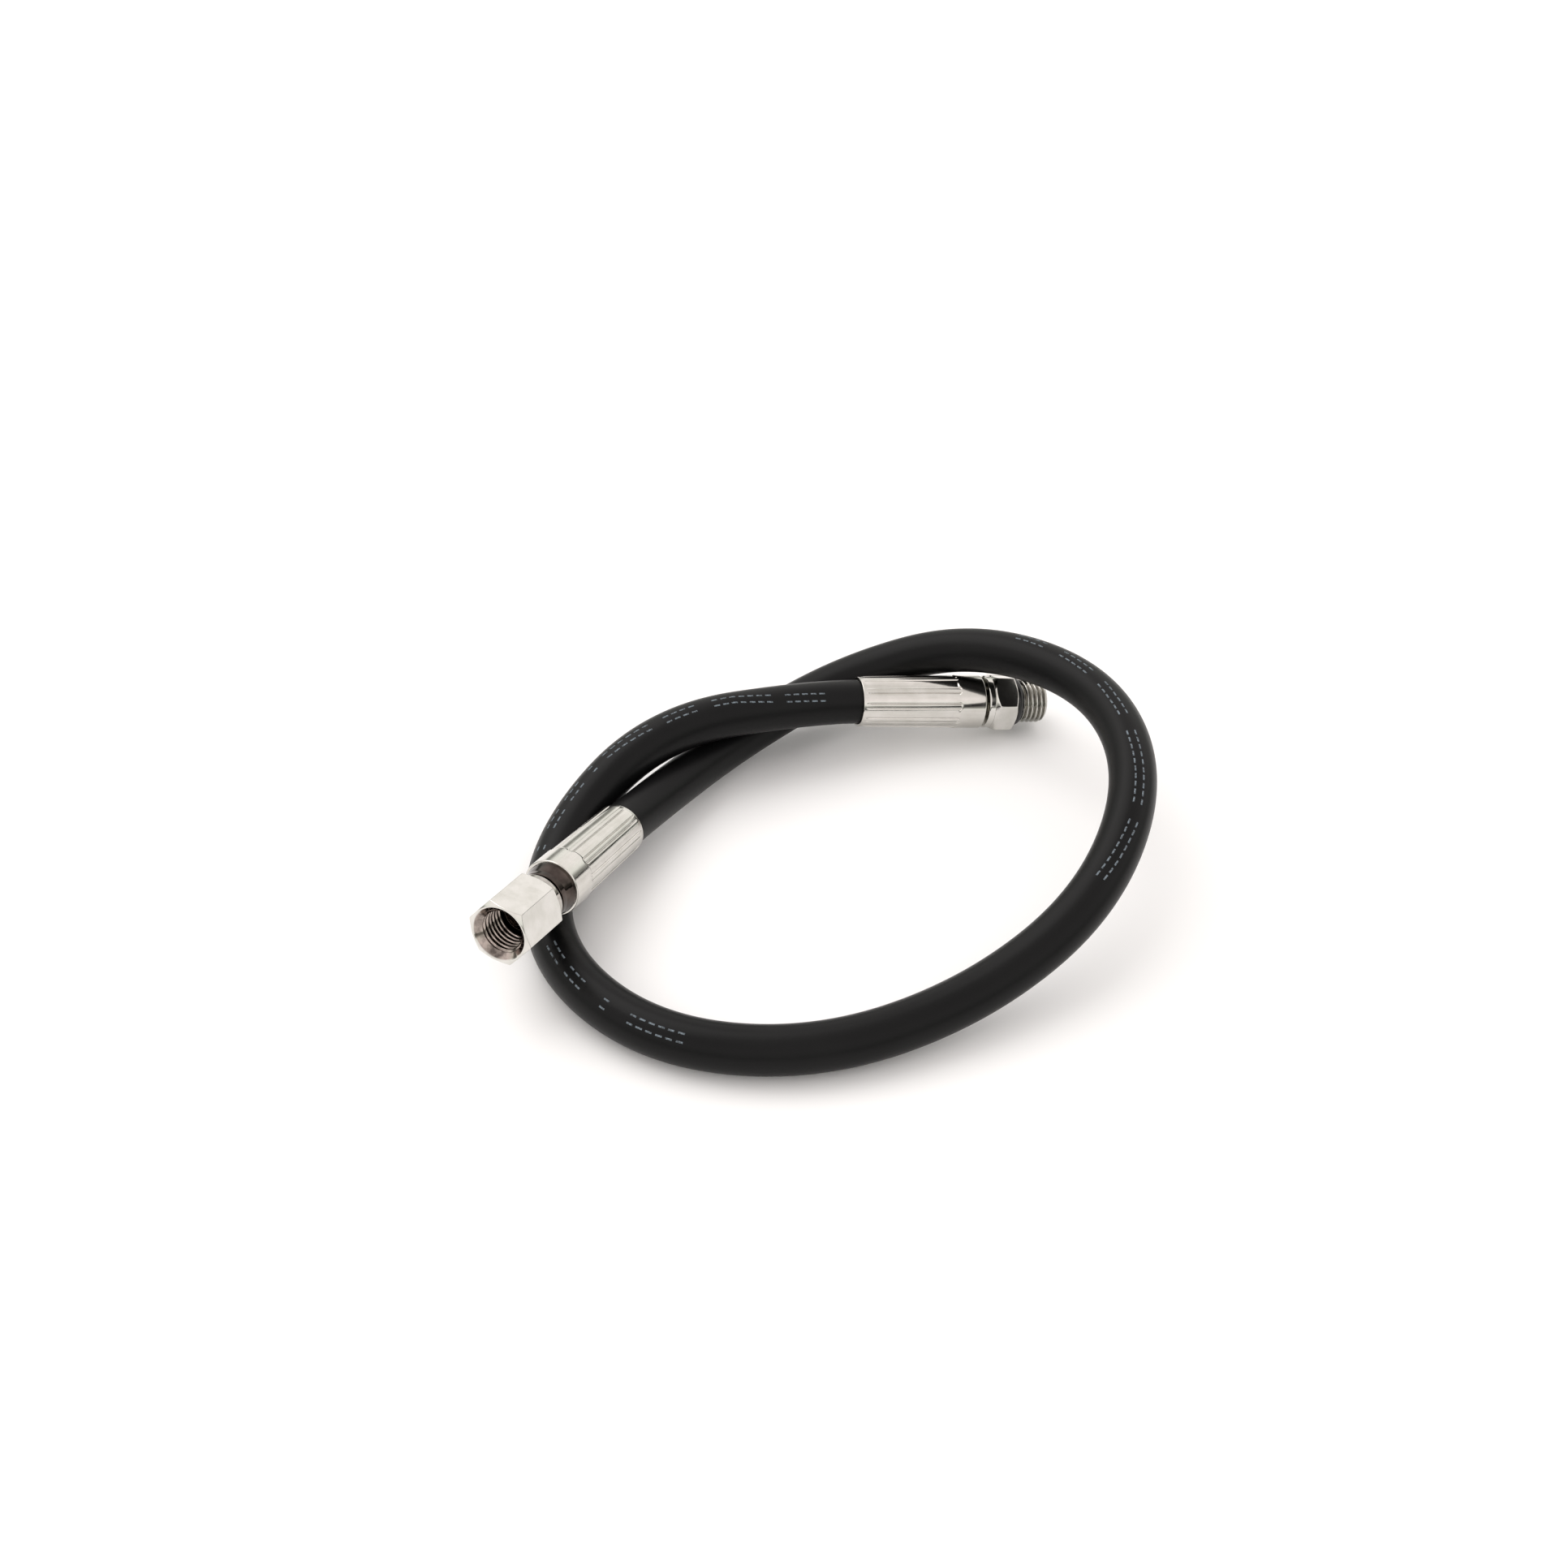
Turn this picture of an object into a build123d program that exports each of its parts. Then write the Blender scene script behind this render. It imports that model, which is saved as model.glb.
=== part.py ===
from build123d import *
import math
import os

# A high pressure hose assembly, laid down in one loop: a rubber hose with two braids, a crimped
# swivel end with a female nut, and a crimped end with a fixed male thread and an O-ring.
# Millimetres, +Z up, the floor at Z = 0. The origin is below the middle of the two end fittings.

# Hose: outer radius of each layer, from the bore outwards
HOSE_BORE_RADIUS = 2.4
HOSE_LAYERS = {
    "inner_tube": 3.2,
    "inner_braid": 3.8,
    "tie_layer": 4.05,
    "outer_braid": 4.65,
    "hose_cover": 5.75,
}
HOSE_RADIUS = HOSE_LAYERS["hose_cover"]

# Route of the hose's centreline, from its end in the swivel fitting to its end in the male fitting
ROUTE = [
    (-48.8, -25.1, 17.5),
    (-35.4, 4.6, 10.2),
    (-13, 39, 5.8),
    (16, 60, 11.6),
    (49, 58.2, 24.2),
    (78.5, 34, 29),
    (86.5, -2, 28),
    (73, -36.5, 18),
    (43.5, -59.5, 8),
    (6.5, -75, 6),
    (-31, -69.5, 5.8),
    (-56, -41, 5.8),
    (-56.5, -3.5, 7.8),
    (-32.5, 25.5, 20.5),
    (8.1, 41.2, 16.6),
    (40.3, 48.3, 11.4),
]
ARC_SHARE = 0.45  # of the shorter run beside a corner, taken by the corner's arc
HOSE_IN_FERRULE = 22.0

# Ferrule, from the rim where the hose leaves it (station 0) to its collar's front
FERRULE_LENGTH = 33.6
FERRULE_RIM_RADIUS = 6.5
FERRULE_CRIMP_RADIUS = 6.85
COLLAR_RADIUS = 7.05
COLLAR_LENGTH = 6.8
FERRULE_BORE_RADIUS = 5.65  # squeezes the cover by 0.1
COLLAR_BORE_RADIUS = 4.4
CRIMP_JAWS = 10
CRIMP_TURN = 30.0  # of the first crimp line, about the ferrule's axis from straight up
CRIMP_LINE_WIDTH = 0.4
CRIMP_LINE_DEPTH = 0.2
EDGE = 0.4

# Stems: the barbed tail in the hose and the journal in the ferrule's collar
TAIL_RADIUS = 2.3
BARB_RADIUS = 2.55
BARB_PITCH = 3.0
BARBS = 6
TAIL_START = 2.5
STEM_BORE_RADIUS = 1.5
STEM_BODY_RADIUS = 3.8
LOCK_RADIUS = 5.3
LOCK_LENGTH = 2.0

# 7/16-20 thread of both ends
THREAD_PITCH = 25.4 / 20
THREAD_RADIUS = 25.4 * 7 / 16 / 2
NUT_THREAD_BORE_RADIUS = THREAD_RADIUS - 1.0825 * THREAD_PITCH / 2

# Wrench hexagons
ACROSS_FLATS = 14.0
HEX_CORNER_RADIUS = ACROSS_FLATS / math.sqrt(3)
CHAMFER_CIRCLE_RADIUS = 6.85
CHAMFER_ANGLE = 30.0

# Swivel end, stations along its axis
SHOULDER_RADIUS = 6.45
SHOULDER_FACE = 0.6
SHOULDER_WAIST_RADIUS = 6.0
SHOULDER_LENGTH = 4.9
NECK_RADIUS = 4.2
NUT_GAP = 0.9
NUT_LENGTH = 17.6
NUT_HUB_RADIUS = 6.4
NUT_HUB_LENGTH = 2.2
NUT_TURN = 20.0
NUT_REAR_HOLE_RADIUS = 4.35
NUT_REAR_WALL = 3.0
NUT_RELIEF_RADIUS = 5.7
NUT_RELIEF_LENGTH = 4.9
NUT_COUNTERSINK_RADIUS = 6.55
HEAD_RADIUS = 5.3
HEAD_CLEARANCE = 0.3
HEAD_LENGTH = 4.5
SEAT_RADIUS = 4.2
SEAT_ANGLE = 37.0

# Male end, lengths in order along its axis
GROOVE_RADIUS = 4.6
GROOVE_LENGTH = 1.0
RING_RADIUS = 6.9
RING_LENGTH = 1.7
HEX_LENGTH = 6.3
HEX_TURN = 5.0
O_RING_SEAT_RADIUS = 4.5
O_RING_SECTION = 1.83
O_RING_BORE = 8.92
O_RING_SEAT_LENGTH = 1.9
MALE_THREAD_LENGTH = 7.0
TIP_CHAMFER = 0.7
MALE_BORE_RADIUS = 2.0
MALE_BORE_DEPTH = 9.0


def corner_radii(points):
    """The arc radius of each inner corner of a route."""
    radii = []
    for before, corner, after in zip(points, points[1:], points[2:]):
        run_in = Vector(corner) - Vector(before)
        run_out = Vector(after) - Vector(corner)
        half_turn = math.radians(run_in.get_angle(run_out)) / 2
        radii.append(ARC_SHARE * min(run_in.length, run_out.length) / math.tan(half_turn))
    return radii


def hose_path():
    """The hose's centreline: straight runs joined by tangent arcs."""
    return FilletPolyline(*ROUTE, radius=corner_radii(ROUTE))


def hose_layer(path, inner_radius, outer_radius):
    """One concentric layer of the hose, along its whole length."""
    start = Plane(origin=path @ 0, z_dir=path % 0)
    ring = Circle(outer_radius) - Circle(inner_radius)
    return sweep(start * ring, path=path)


def end_plane(hose_end, next_point):
    """The frame of an end fitting.

    Its origin is the centre of the ferrule's rim, its Z axis points out of the hose, and its X
    axis is the direction nearest to straight up.
    """
    outward = (Vector(hose_end) - Vector(next_point)).normalized()
    rim = Vector(hose_end) - outward * HOSE_IN_FERRULE
    upward = Vector(0, 0, 1) - outward * outward.Z
    return Plane(origin=rim, x_dir=upward, z_dir=outward)


def turned(outline):
    """A solid of revolution about Z, from points of (station, radius)."""
    profile = Polyline(*[(radius, 0, station) for station, radius in outline], close=True)
    return revolve(make_face(profile), axis=Axis.Z)


def hexagon_bar(low, high):
    """A wrench hexagon between two stations, with turned chamfers and one corner on +X."""
    outline = RegularPolygon(HEX_CORNER_RADIUS, 6, major_radius=True)
    bar = Pos(0, 0, low) * extrude(outline, high - low)
    reach = HEX_CORNER_RADIUS + 1
    drop = (reach - CHAMFER_CIRCLE_RADIUS) * math.tan(math.radians(CHAMFER_ANGLE))
    blank = turned(
        [
            (low, 0),
            (low, CHAMFER_CIRCLE_RADIUS),
            (low + drop, reach),
            (high - drop, reach),
            (high, CHAMFER_CIRCLE_RADIUS),
            (high, 0),
        ]
    )
    return bar & blank


def ferrule():
    """The crimped sleeve, tapered by the jaws, with an uncrimped collar at its front."""
    crimp_end = FERRULE_LENGTH - COLLAR_LENGTH
    sleeve = turned(
        [
            (0, FERRULE_BORE_RADIUS),
            (0, FERRULE_RIM_RADIUS - EDGE),
            (EDGE, FERRULE_RIM_RADIUS),
            (crimp_end, FERRULE_CRIMP_RADIUS),
            (crimp_end + EDGE, COLLAR_RADIUS),
            (FERRULE_LENGTH - EDGE, COLLAR_RADIUS),
            (FERRULE_LENGTH, COLLAR_RADIUS - EDGE),
            (FERRULE_LENGTH, COLLAR_BORE_RADIUS),
            (crimp_end, COLLAR_BORE_RADIUS),
            (crimp_end, FERRULE_BORE_RADIUS),
        ]
    )
    taper = math.degrees(math.atan2(FERRULE_CRIMP_RADIUS - FERRULE_RIM_RADIUS, crimp_end))
    groove = Box(2 * CRIMP_LINE_DEPTH, CRIMP_LINE_WIDTH, crimp_end - 1)
    for jaw in range(CRIMP_JAWS):
        middle = Pos((FERRULE_RIM_RADIUS + FERRULE_CRIMP_RADIUS) / 2, 0, crimp_end / 2)
        turn = CRIMP_TURN + 360 / CRIMP_JAWS * jaw
        sleeve -= Rot(0, 0, turn) * middle * Rot(0, taper, 0) * groove
    return sleeve


def tail_outline():
    """The part of a stem's outline inside the hose: saw-tooth barbs, then the ferrule's lock."""
    outline = [(TAIL_START, STEM_BORE_RADIUS), (TAIL_START, TAIL_RADIUS - EDGE)]
    for barb in range(BARBS):
        foot = TAIL_START + EDGE + barb * BARB_PITCH
        outline += [(foot, TAIL_RADIUS), (foot + BARB_PITCH - EDGE, BARB_RADIUS)]
    crimp_end = FERRULE_LENGTH - COLLAR_LENGTH
    outline += [
        (HOSE_IN_FERRULE, TAIL_RADIUS),
        (HOSE_IN_FERRULE, STEM_BODY_RADIUS),
        (crimp_end - LOCK_LENGTH, STEM_BODY_RADIUS),
        (crimp_end - LOCK_LENGTH, LOCK_RADIUS),
        (crimp_end, LOCK_RADIUS),
        (crimp_end, COLLAR_BORE_RADIUS),
        (FERRULE_LENGTH, COLLAR_BORE_RADIUS),
    ]
    return outline


def nut_stations():
    """The rear and front faces of the swivel nut."""
    rear = FERRULE_LENGTH + SHOULDER_LENGTH + NUT_GAP
    return rear, rear + NUT_LENGTH


def swivel_stem():
    """The turned stem that the nut spins on: shoulder, neck, and a head with a coned seat."""
    shoulder_end = FERRULE_LENGTH + SHOULDER_LENGTH
    head_rear = nut_stations()[0] + NUT_REAR_WALL + HEAD_CLEARANCE
    head_front = head_rear + HEAD_LENGTH
    seat_depth = (SEAT_RADIUS - STEM_BORE_RADIUS) / math.tan(math.radians(SEAT_ANGLE))
    return turned(
        tail_outline()
        + [
            (FERRULE_LENGTH, SHOULDER_RADIUS),
            (FERRULE_LENGTH + SHOULDER_FACE, SHOULDER_RADIUS),
            (FERRULE_LENGTH + SHOULDER_LENGTH * 0.45, SHOULDER_WAIST_RADIUS + 0.3),
            (FERRULE_LENGTH + SHOULDER_LENGTH * 0.7, SHOULDER_WAIST_RADIUS),
            (shoulder_end, SHOULDER_WAIST_RADIUS),
            (shoulder_end, NECK_RADIUS),
            (head_rear, NECK_RADIUS),
            (head_rear, HEAD_RADIUS),
            (head_front - EDGE, HEAD_RADIUS),
            (head_front, HEAD_RADIUS - EDGE),
            (head_front, SEAT_RADIUS),
            (head_front - seat_depth, STEM_BORE_RADIUS),
        ]
    )


def swivel_nut():
    """The long hexagon nut with a round hub, staked over the stem's head and threaded inside its mouth."""
    rear, front = nut_stations()
    relief_end = rear + NUT_REAR_WALL + NUT_RELIEF_LENGTH
    countersink_depth = NUT_COUNTERSINK_RADIUS - NUT_THREAD_BORE_RADIUS
    bore = turned(
        [
            (rear, 0),
            (rear, NUT_REAR_HOLE_RADIUS),
            (rear + NUT_REAR_WALL, NUT_REAR_HOLE_RADIUS),
            (rear + NUT_REAR_WALL, NUT_RELIEF_RADIUS),
            (relief_end, NUT_RELIEF_RADIUS),
            (relief_end, NUT_THREAD_BORE_RADIUS),
            (front - countersink_depth, NUT_THREAD_BORE_RADIUS),
            (front, NUT_COUNTERSINK_RADIUS),
            (front, 0),
        ]
    )
    hub = turned(
        [
            (rear, 0),
            (rear, NUT_HUB_RADIUS - EDGE),
            (rear + EDGE, NUT_HUB_RADIUS),
            (rear + NUT_HUB_LENGTH, NUT_HUB_RADIUS),
            (rear + NUT_HUB_LENGTH, 0),
        ]
    )
    hexagon = hexagon_bar(rear + NUT_HUB_LENGTH, front)
    return Rot(0, 0, NUT_TURN) * (hexagon + hub - bore)


def male_stations():
    """The stations of the male stem: ring, hexagon, O-ring seat, thread and tip."""
    ring = FERRULE_LENGTH + GROOVE_LENGTH
    hexagon = ring + RING_LENGTH
    seat = hexagon + HEX_LENGTH
    thread = seat + O_RING_SEAT_LENGTH
    return ring, hexagon, seat, thread, thread + MALE_THREAD_LENGTH


def male_stem():
    """The turned stem with a fixed hexagon and a male thread."""
    ring, hexagon, seat, thread, tip = male_stations()
    body = turned(
        tail_outline()
        + [
            (FERRULE_LENGTH, GROOVE_RADIUS),
            (ring, GROOVE_RADIUS),
            (ring, RING_RADIUS - EDGE),
            (ring + EDGE, RING_RADIUS),
            (hexagon, RING_RADIUS),
            (hexagon, O_RING_SEAT_RADIUS),
            (thread, O_RING_SEAT_RADIUS),
            (thread, THREAD_RADIUS),
            (tip - TIP_CHAMFER, THREAD_RADIUS),
            (tip, THREAD_RADIUS - TIP_CHAMFER),
            (tip, MALE_BORE_RADIUS),
            (tip - MALE_BORE_DEPTH, MALE_BORE_RADIUS),
            (tip - MALE_BORE_DEPTH, STEM_BORE_RADIUS),
        ]
    )
    core = Pos(0, 0, hexagon) * extrude(Circle(MALE_BORE_RADIUS + 0.5), HEX_LENGTH)
    return body + Rot(0, 0, HEX_TURN) * (hexagon_bar(hexagon, seat) - core)


def male_o_ring():
    """The O-ring in its seat between the hexagon and the thread."""
    seat = male_stations()[2]
    middle_radius = (O_RING_BORE + O_RING_SECTION) / 2
    return Pos(0, 0, seat + O_RING_SEAT_LENGTH / 2) * Torus(middle_radius, O_RING_SECTION / 2)


def build():
    """Every named piece of the assembly, in place."""
    path = hose_path()
    swivel_end = end_plane(ROUTE[0], ROUTE[1])
    male_end = end_plane(ROUTE[-1], ROUTE[-2])
    parts = {}
    inner_radius = HOSE_BORE_RADIUS
    for name, outer_radius in HOSE_LAYERS.items():
        parts[name] = hose_layer(path, inner_radius, outer_radius)
        inner_radius = outer_radius
    parts["swivel_ferrule"] = swivel_end * ferrule()
    parts["swivel_stem"] = swivel_end * swivel_stem()
    parts["swivel_nut"] = swivel_end * swivel_nut()
    parts["male_ferrule"] = male_end * ferrule()
    parts["male_stem"] = male_end * male_stem()
    parts["male_o_ring"] = male_end * male_o_ring()
    print("hose length", round(path.length, 1))
    print("hose radii", [round(radius, 1) for radius in corner_radii(ROUTE)])
    return parts


os.makedirs("parts", exist_ok=True)
for node, shape in build().items():
    export_step(shape, f"parts/{node}.step")
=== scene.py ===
import math

import bpy
from mathutils import Matrix, Vector


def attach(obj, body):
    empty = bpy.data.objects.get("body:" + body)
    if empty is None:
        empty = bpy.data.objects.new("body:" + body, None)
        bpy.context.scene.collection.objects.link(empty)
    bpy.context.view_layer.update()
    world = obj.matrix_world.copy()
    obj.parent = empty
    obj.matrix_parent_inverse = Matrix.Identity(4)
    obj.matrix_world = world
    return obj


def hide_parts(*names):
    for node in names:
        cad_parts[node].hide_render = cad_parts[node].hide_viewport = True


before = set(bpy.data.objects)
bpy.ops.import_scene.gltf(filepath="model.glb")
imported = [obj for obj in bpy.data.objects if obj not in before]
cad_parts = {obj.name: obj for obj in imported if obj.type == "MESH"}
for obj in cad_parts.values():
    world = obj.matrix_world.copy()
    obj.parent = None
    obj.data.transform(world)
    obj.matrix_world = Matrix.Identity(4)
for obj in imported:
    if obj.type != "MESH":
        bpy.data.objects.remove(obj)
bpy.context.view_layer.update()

# A hydraulic hose with a crimped swivel nut end and a crimped male end, lying in one loop.
# Places are in metres in the frame of the CAD model. The outlines of the fittings are in
# millimetres, in each fitting's own frame: station along its axis, radius from it.
MM = 0.001

# Control points of the hose's line. The second and the last but one hold it straight in its ferrules.
ROUTE = [
    (-0.0488, -0.0251, 0.0175),
    (-0.04559, -0.01798, 0.01575),
    (-0.0354, 0.0046, 0.0102),
    (-0.013, 0.039, 0.0058),
    (0.016, 0.0597, 0.0115),
    (0.049, 0.0579, 0.0241),
    (0.0785, 0.034, 0.029),
    (0.0865, -0.002, 0.028),
    (0.073, -0.0365, 0.018),
    (0.0435, -0.0595, 0.008),
    (0.0065, -0.075, 0.006),
    (-0.031, -0.0695, 0.0058),
    (-0.056, -0.041, 0.0058),
    (-0.0565, -0.0035, 0.0078),
    (-0.0325, 0.0255, 0.0205),
    (0.0081, 0.0412, 0.0166),
    (0.03258, 0.04660, 0.01265),
    (0.0403, 0.0483, 0.0114),
]
ROUTE_STEPS = 24  # points read from the line for each of its control points
HOSE_IN_FERRULE = 0.022
HOSE_SIDES = 72

# Hose: node, inner radius and outer radius in metres, material slot
HOSE_LAYERS = [
    ("inner_tube", 0.0024, 0.0032, "tube_rubber"),
    ("inner_braid", 0.0032, 0.0038, "braid_yarn"),
    ("tie_layer", 0.0038, 0.00405, "tube_rubber"),
    ("outer_braid", 0.00405, 0.00465, "braid_yarn"),
    ("hose_cover", 0.00465, 0.00575, "cover_rubber"),
]
HOSE_DIAMETER = 0.0115
SQUEEZED_RADIUS = 0.0056  # of the cover inside a ferrule
SQUEEZE_RUN = 0.003  # the length over which the cover widens at the ferrule's rim

# Printed marks on the cover: (start, end) of each group in metres along the line, and the side that
# they are on, as (distance, degrees about the line from straight up)
PRINT_GROUPS = [
    (0.158, 0.168), (0.172, 0.184), (0.188, 0.202), (0.207, 0.229), (0.234, 0.253),
    (0.358, 0.372), (0.377, 0.379), (0.385, 0.391), (0.394, 0.402), (0.405, 0.417),
    (0.431, 0.433), (0.438, 0.444), (0.447, 0.453), (0.457, 0.459),
    (0.462, 0.476), (0.479, 0.489), (0.492, 0.508), (0.511, 0.522),
]
PRINT_SIDE = [
    (0.10, 0), (0.16, -6), (0.178, 4), (0.194, 7), (0.209, 0), (0.22, -11), (0.234, -22), (0.245, -18),
    (0.255, -12), (0.357, -38), (0.377, -34), (0.391, -27), (0.402, -22), (0.431, -31), (0.444, -21),
    (0.461, -14), (0.479, 8), (0.497, 12), (0.51, 30), (0.53, 45),
]
PRINT_MARK = 0.0015
PRINT_PITCH = 0.0023
PRINT_ROWS = (-0.001, 0.001)
PRINT_ROW_WIDTH = 0.00042
PRINT_HEIGHT = 0.00002
PRINT_FACET = 0.0006
PRINT_COLUMNS = 3

# Turned outlines: a run longer than this gets one more point that far beyond its rounded end
LONG_RUN = 1.5
SUPPORT = 0.06

# Ferrules
FERRULE_LENGTH = 33.6
CRIMP_END = 26.8
RIM_RADIUS = 6.5
CRIMP_RADIUS = 6.85
COLLAR_RADIUS = 7.05
STEP_LENGTH = 0.5
STEP_WAVE = 0.6
FERRULE_BORE = 5.65
RIM_FLARE = 0.35
RIM_EDGE = 0.4
COLLAR_BORE = 4.4
COLLAR_EDGE = 0.3
JAWS = 10
JAW_TURN = 30.0
RIDGE_HALF_WIDTH = 0.55
RIDGE_HEIGHT = 0.1
JAW_LINE_DEPTH = 0.2
JAW_LINE_WIDTH = 0.15

# Stems
BORE = 1.5
TAIL_RADIUS = 2.3
BARB_RADIUS = 2.55
BARB_PITCH = 3.0
BARB_EDGE = 0.4
BARBS = 6
TAIL_START = 2.5
TAIL_END = 22.0
BODY_RADIUS = 3.8
LOCK_RADIUS = 5.3
LOCK_LENGTH = 2.0
SEAT_GAP = 0.02

# 7/16-20 thread
PITCH = 25.4 / 20
MAJOR_RADIUS = 25.4 * 7 / 16 / 2
INNER_THREAD_RADIUS = MAJOR_RADIUS - 1.0825 * PITCH / 2
OUTER_THREAD_ROOT = MAJOR_RADIUS - 0.6134 * PITCH
FLANK_SLOPE = math.tan(math.radians(60))
THREAD_ROWS = 20  # for each turn

# Hexagons
APOTHEM = 7.0
HEX_EDGE = 0.35
CHAMFER_RADIUS = 6.85
CHAMFER_SLOPE = math.tan(math.radians(30))

# Swivel end
SHOULDER_RADIUS = 6.45
WAIST_RADIUS = 6.0
SHOULDER_END = 38.5
NECK_RADIUS = 4.2
NUT_REAR = 39.4
NUT_FRONT = 57.0
NUT_TURN = 20.0
HUB_RADIUS = 6.4
HUB_END = 41.6
NUT_REAR_HOLE = 4.35
NUT_REAR_WALL = 3.0
RELIEF_RADIUS = 5.7
RELIEF_END = 47.3
COUNTERSINK_RADIUS = 6.55
HEAD_RADIUS = 5.3
HEAD_REAR = 42.7
HEAD_FRONT = 47.2
SEAT_RADIUS = 4.2
SEAT_DEPTH = (SEAT_RADIUS - BORE) / math.tan(math.radians(37))

# Male end
GROOVE_RADIUS = 4.6
RING_REAR = 34.6
RING_RADIUS = 6.9
HEX_REAR = 36.3
HEX_FRONT = 42.6
HEX_TURN = 5.0
SEAL_SEAT_RADIUS = 4.5
THREAD_REAR = 44.5
TIP = 51.5
TIP_RADIUS = 4.75
MALE_BORE = 2.0
MALE_BORE_DEPTH = 9.0
SEAL_RADIUS = 0.915
SEAL_MIDDLE = 5.375

# Camera and stage
FOCAL_LENGTH = 46.58
SENSOR = 36.0
CAMERA_PLACE = (0.0, -0.3831, 0.331)
CAMERA_TARGET = (0.0, 0.02765, 0.0)
FLOOR_SIZE = 8.0
SKY = [
    (0.0, (0.95, 1.0, 0.93)),
    (0.04, (0.25, 0.25, 0.23)),
    (0.16, (0.25, 0.25, 0.23)),
    (0.27, (0.93, 0.94, 0.89)),
    (0.55, (1.0, 0.945, 0.935)),
    (0.85, (0.8, 0.77, 0.75)),
]
SKY_STRENGTH = 1.3
LIGHT_PLACE = (-0.45, 0.35, 0.95)
LIGHT_SIZE = 0.9
LIGHT_POWER = 4
LIGHT_COLOUR = (1.0, 0.985, 0.97)


def lerp(a, b, t):
    """The value a share t of the way from a to b."""
    return a + (b - a) * t


def smooth(low, high, value):
    """A smooth step from 0 at low to 1 at high."""
    t = min(max((value - low) / (high - low), 0.0), 1.0)
    return t * t * (3 - 2 * t)


def table_value(table, x):
    """The value of a piecewise linear table of (x, value) pairs."""
    for (x0, y0), (x1, y1) in zip(table, table[1:]):
        if x <= x1:
            return lerp(y0, y1, max(x - x0, 0.0) / (x1 - x0))
    return table[-1][1]


# Materials


class Nodes:
    """A new node material with a Principled shader, and short calls that add nodes to it."""

    def __init__(self, name, fitting=False, **sockets):
        self.material = bpy.data.materials.new(name)
        self.material.use_nodes = True
        self.tree = self.material.node_tree
        self.shader = self.tree.nodes["Principled BSDF"]
        if fitting:
            self.place = self.add("ShaderNodeAttribute", attribute_name="fitting").outputs["Vector"]
        else:
            self.place = self.add("ShaderNodeTexCoord").outputs["Object"]
        for socket, value in sockets.items():
            self.shader.inputs[socket.replace("_", " ")].default_value = value

    def add(self, kind, **values):
        """A node of that kind, with those properties."""
        node = self.tree.nodes.new(kind)
        for key, value in values.items():
            setattr(node, key, value)
        return node

    def link(self, output, node, socket):
        """Joins an output to a node's input socket."""
        self.tree.links.new(output, node.inputs[socket])

    def noise(self, scale, detail=4.0, stretch=(1, 1, 1)):
        """A noise texture in the piece's own space; scale is in features a metre."""
        mapping = self.add("ShaderNodeMapping")
        mapping.inputs["Scale"].default_value = stretch
        self.link(self.place, mapping, "Vector")
        noise = self.add("ShaderNodeTexNoise")
        noise.inputs["Scale"].default_value = scale
        noise.inputs["Detail"].default_value = detail
        noise.inputs["Roughness"].default_value = 0.55
        self.link(mapping.outputs["Vector"], noise, "Vector")
        return noise.outputs["Fac"]

    def bands(self, scale):
        """Fine bands around the fitting's axis, as turning leaves them."""
        wave = self.add("ShaderNodeTexWave", wave_type="BANDS", bands_direction="Z")
        wave.inputs["Scale"].default_value = scale
        wave.inputs["Distortion"].default_value = 0.4
        wave.inputs["Detail"].default_value = 2.0
        self.link(self.place, wave, "Vector")
        return wave.outputs["Fac"]

    def ramp(self, factor, stops, to="Base Color"):
        """Colours, or greys for a number, from a factor, into the shader's socket."""
        ramp = self.add("ShaderNodeValToRGB")
        elements = ramp.color_ramp.elements
        while len(elements) < len(stops):
            elements.new(0.5)
        for element, (position, colour) in zip(elements, stops):
            element.position = position
            element.color = (*colour, 1) if isinstance(colour, tuple) else (colour, colour, colour, 1)
        self.link(factor, ramp, "Fac")
        if to:
            self.link(ramp.outputs["Color"], self.shader, to)
        return ramp.outputs["Color"]

    def mixed(self, first, second, share):
        """A mix of two factors."""
        mix = self.add("ShaderNodeMix", data_type="FLOAT")
        mix.inputs["Factor"].default_value = share
        self.link(first, mix, "A")
        self.link(second, mix, "B")
        return mix.outputs["Result"]

    def split_by_radius(self, inner, outer, low, high):
        """Mixes two colours by the distance from the fitting's axis, into the base colour."""
        flat = self.add("ShaderNodeVectorMath", operation="MULTIPLY")
        flat.inputs[1].default_value = (1, 1, 0)
        self.link(self.place, flat, 0)
        length = self.add("ShaderNodeVectorMath", operation="LENGTH")
        self.link(flat.outputs["Vector"], length, 0)
        share = self.add("ShaderNodeMapRange")
        share.inputs["From Min"].default_value = low
        share.inputs["From Max"].default_value = high
        self.link(length.outputs["Value"], share, "Value")
        mix = self.add("ShaderNodeMix", data_type="RGBA")
        self.link(share.outputs["Result"], mix, "Factor")
        colours = [socket for socket in mix.inputs if socket.type == "RGBA"]
        self.tree.links.new(inner, colours[0])
        self.tree.links.new(outer, colours[1])
        result = [socket for socket in mix.outputs if socket.type == "RGBA"][0]
        self.link(result, self.shader, "Base Color")

    def bump(self, height, depth):
        """Bump of that depth in metres."""
        bump = self.add("ShaderNodeBump")
        bump.inputs["Strength"].default_value = 1.0
        bump.inputs["Distance"].default_value = depth
        self.link(height, bump, "Height")
        self.link(bump.outputs["Normal"], self.shader, "Normal")


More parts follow.
